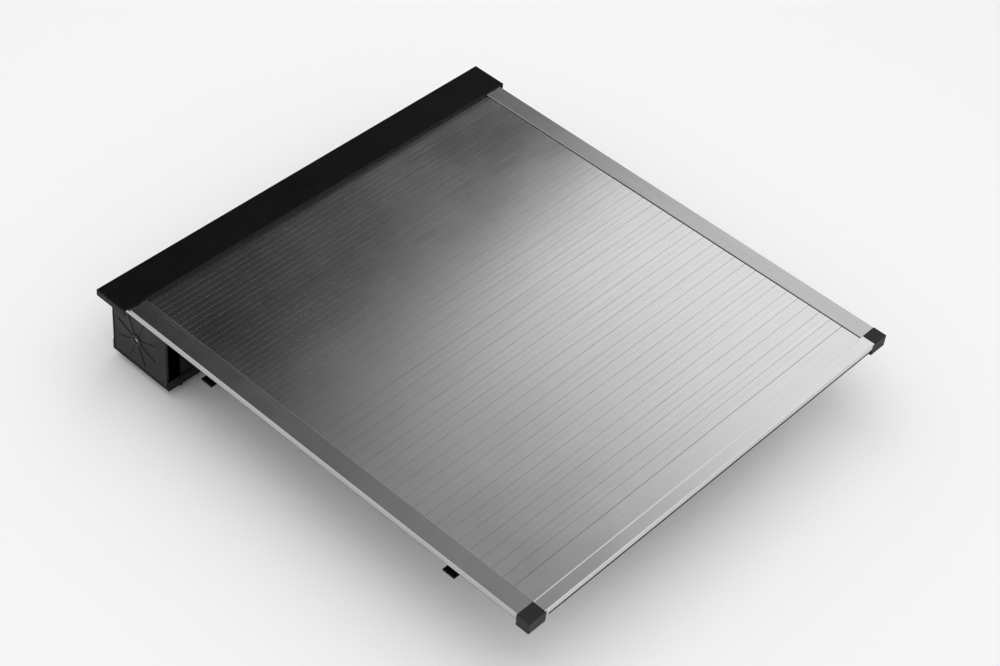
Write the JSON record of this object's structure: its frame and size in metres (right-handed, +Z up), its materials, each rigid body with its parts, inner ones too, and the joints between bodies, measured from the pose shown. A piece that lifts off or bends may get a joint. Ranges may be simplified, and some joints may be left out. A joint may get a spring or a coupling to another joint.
{
  "type": "roll-up tonneau cover",
  "caption": "Roll-up pickup bed cover: slatted aluminium curtain in side rails, end lath with turn latch, and a black canister at the cab end.",
  "frame": {"origin": "on the front face that meets the bed bulkhead, at mid-width, at the height where the side rails rest on the bed walls", "axes": "+X to the vehicle right, +Y forward to the cab, +Z up"},
  "size_m": [1.485, 1.5665, 0.2726],
  "materials": {
    "slat_aluminium": "satin anodised, fine grain along the slats",
    "rail_aluminium": "satin anodised extrusion",
    "black_coat": "fine black powder coat",
    "black_plastic": "fine grain black moulding",
    "rubber": "matt black",
    "nylon": "natural nylon",
    "steel": "zinc plated",
    "brass": "plain"
  },
  "bodies": {
    "rails_and_canister": {"bulkhead_seal": "rubber", "canister_bottom_pan": "black_coat", "canister_end_plate_left": "black_plastic", "canister_end_plate_right": "black_plastic", "canister_front_panel": "black_coat", "canister_lid": "black_coat", "canister_rear_panel": "black_coat", "clamp_bolt_left_front": "steel", "clamp_bolt_left_rear": "steel", "clamp_bolt_right_front": "steel", "clamp_bolt_right_rear": "steel", "clamp_bracket_left_front": "black_coat", "clamp_bracket_left_rear": "black_coat", "clamp_bracket_right_front": "black_coat", "clamp_bracket_right_rear": "black_coat", "clamp_nut_left_front": "steel", "clamp_nut_left_rear": "steel", "clamp_nut_right_front": "steel", "clamp_nut_right_rear": "steel", "curtain_lead": "slat_aluminium", "drain_spigot_left": "black_plastic", "drain_spigot_right": "black_plastic", "mouth_brush_seal": "rubber", "mouth_guide_bar": "nylon", "rail_end_cap_left": "black_plastic", "rail_end_cap_right": "black_plastic", "rail_foam_seal_left": "rubber", "rail_foam_seal_right": "rubber", "rail_wear_strip_left": "nylon", "rail_wear_strip_right": "nylon", "side_rail_left": "rail_aluminium", "side_rail_right": "rail_aluminium", "spool_shaft": "steel", "spring_anchor": "steel"},
    "end_lath": {"end_lath": "slat_aluminium", "lath_end_plug_left": "black_plastic", "lath_end_plug_right": "black_plastic", "tailgate_seal": "rubber", "latch_housing": "black_plastic", "latch_cover": "black_plastic", "latch_screw_left": "steel", "latch_screw_right": "steel"},
    "handle": {"turn_handle": "black_plastic", "latch_cam": "steel"},
    "lock": {"lock_cylinder": "brass"},
    "rod_left": {"latch_rod_left": "steel"},
    "rod_right": {"latch_rod_right": "steel"},
    "spool": {"spool_tube": "rail_aluminium", "spool_hub_left": "black_plastic", "spool_hub_right": "black_plastic", "curtain_wrapped": "slat_aluminium", "torsion_spring": "steel"},
    "section_1": {"curtain_section_1": "slat_aluminium"},
    "section_2": {"curtain_section_2": "slat_aluminium"},
    "section_3": {"curtain_section_3": "slat_aluminium"},
    "section_4": {"curtain_section_4": "slat_aluminium"},
    "section_5": {"curtain_section_5": "slat_aluminium"},
    "section_6": {"curtain_section_6": "slat_aluminium"},
    "section_7": {"curtain_section_7": "slat_aluminium"}
  },
  "joints": [
    {"name": "curtain_travel", "type": "slide", "parent": "rails_and_canister", "child": "end_lath", "axis": [0, 1, 0], "range_m": [0, 1.228]},
    {"name": "handle_turn", "type": "hinge", "parent": "end_lath", "child": "handle", "pos_m": [0, -1.4935, -0.02], "axis": [0, 0, -1], "range_deg": [0, 60]},
    {"name": "lock_turn", "type": "hinge", "parent": "handle", "child": "lock", "pos_m": [0, -1.4935, -0.025], "axis": [0, 0, 1], "range_deg": [0, 90]},
    {"name": "rod_left_slide", "type": "slide", "parent": "end_lath", "child": "rod_left", "axis": [-1, 0, 0], "range_m": [0, 0.0142]},
    {"name": "rod_right_slide", "type": "slide", "parent": "end_lath", "child": "rod_right", "axis": [1, 0, 0], "range_m": [0, 0.0142]},
    {"name": "spool_turn", "type": "hinge", "parent": "rails_and_canister", "child": "spool", "pos_m": [0, -0.10604, -0.12172], "axis": [-1, 0, 0], "range_deg": [0, 1081], "deforming": ["curtain_wrapped", "curtain_lead"]},
    {"name": "section_1_travel", "type": "slide", "parent": "rails_and_canister", "child": "section_1", "axis": [0, 1, 0], "range_m": [0, 0.0945], "deforming": ["curtain_section_1"]},
    {"name": "section_2_travel", "type": "slide", "parent": "rails_and_canister", "child": "section_2", "axis": [0, 1, 0], "range_m": [0, 0.2835], "deforming": ["curtain_section_2"]},
    {"name": "section_3_travel", "type": "slide", "parent": "rails_and_canister", "child": "section_3", "axis": [0, 1, 0], "range_m": [0, 0.4725], "deforming": ["curtain_section_3"]},
    {"name": "section_4_travel", "type": "slide", "parent": "rails_and_canister", "child": "section_4", "axis": [0, 1, 0], "range_m": [0, 0.6615], "deforming": ["curtain_section_4"]},
    {"name": "section_5_travel", "type": "slide", "parent": "rails_and_canister", "child": "section_5", "axis": [0, 1, 0], "range_m": [0, 0.8505], "deforming": ["curtain_section_5"]},
    {"name": "section_6_travel", "type": "slide", "parent": "rails_and_canister", "child": "section_6", "axis": [0, 1, 0], "range_m": [0, 1.0395], "deforming": ["curtain_section_6"]},
    {"name": "section_7_travel", "type": "slide", "parent": "rails_and_canister", "child": "section_7", "axis": [0, 1, 0], "range_m": [0, 1.2285], "deforming": ["curtain_section_7"]}
  ],
  "couplings": [
    {"joint": "rod_left_slide", "follows": "handle_turn", "m_per_rad": 0.013369},
    {"joint": "rod_right_slide", "follows": "handle_turn", "m_per_rad": 0.013369},
    {"joint": "spool_turn", "follows": "curtain_travel", "rad_per_m": 15.35},
    {"joint": "section_1_travel", "follows": "curtain_travel", "ratio": 0.076547},
    {"joint": "section_2_travel", "follows": "curtain_travel", "ratio": 0.23046},
    {"joint": "section_3_travel", "follows": "curtain_travel", "ratio": 0.38437},
    {"joint": "section_4_travel", "follows": "curtain_travel", "ratio": 0.53827},
    {"joint": "section_5_travel", "follows": "curtain_travel", "ratio": 0.69218},
    {"joint": "section_6_travel", "follows": "curtain_travel", "ratio": 0.84609},
    {"joint": "section_7_travel", "follows": "curtain_travel", "ratio": 1}
  ]
}
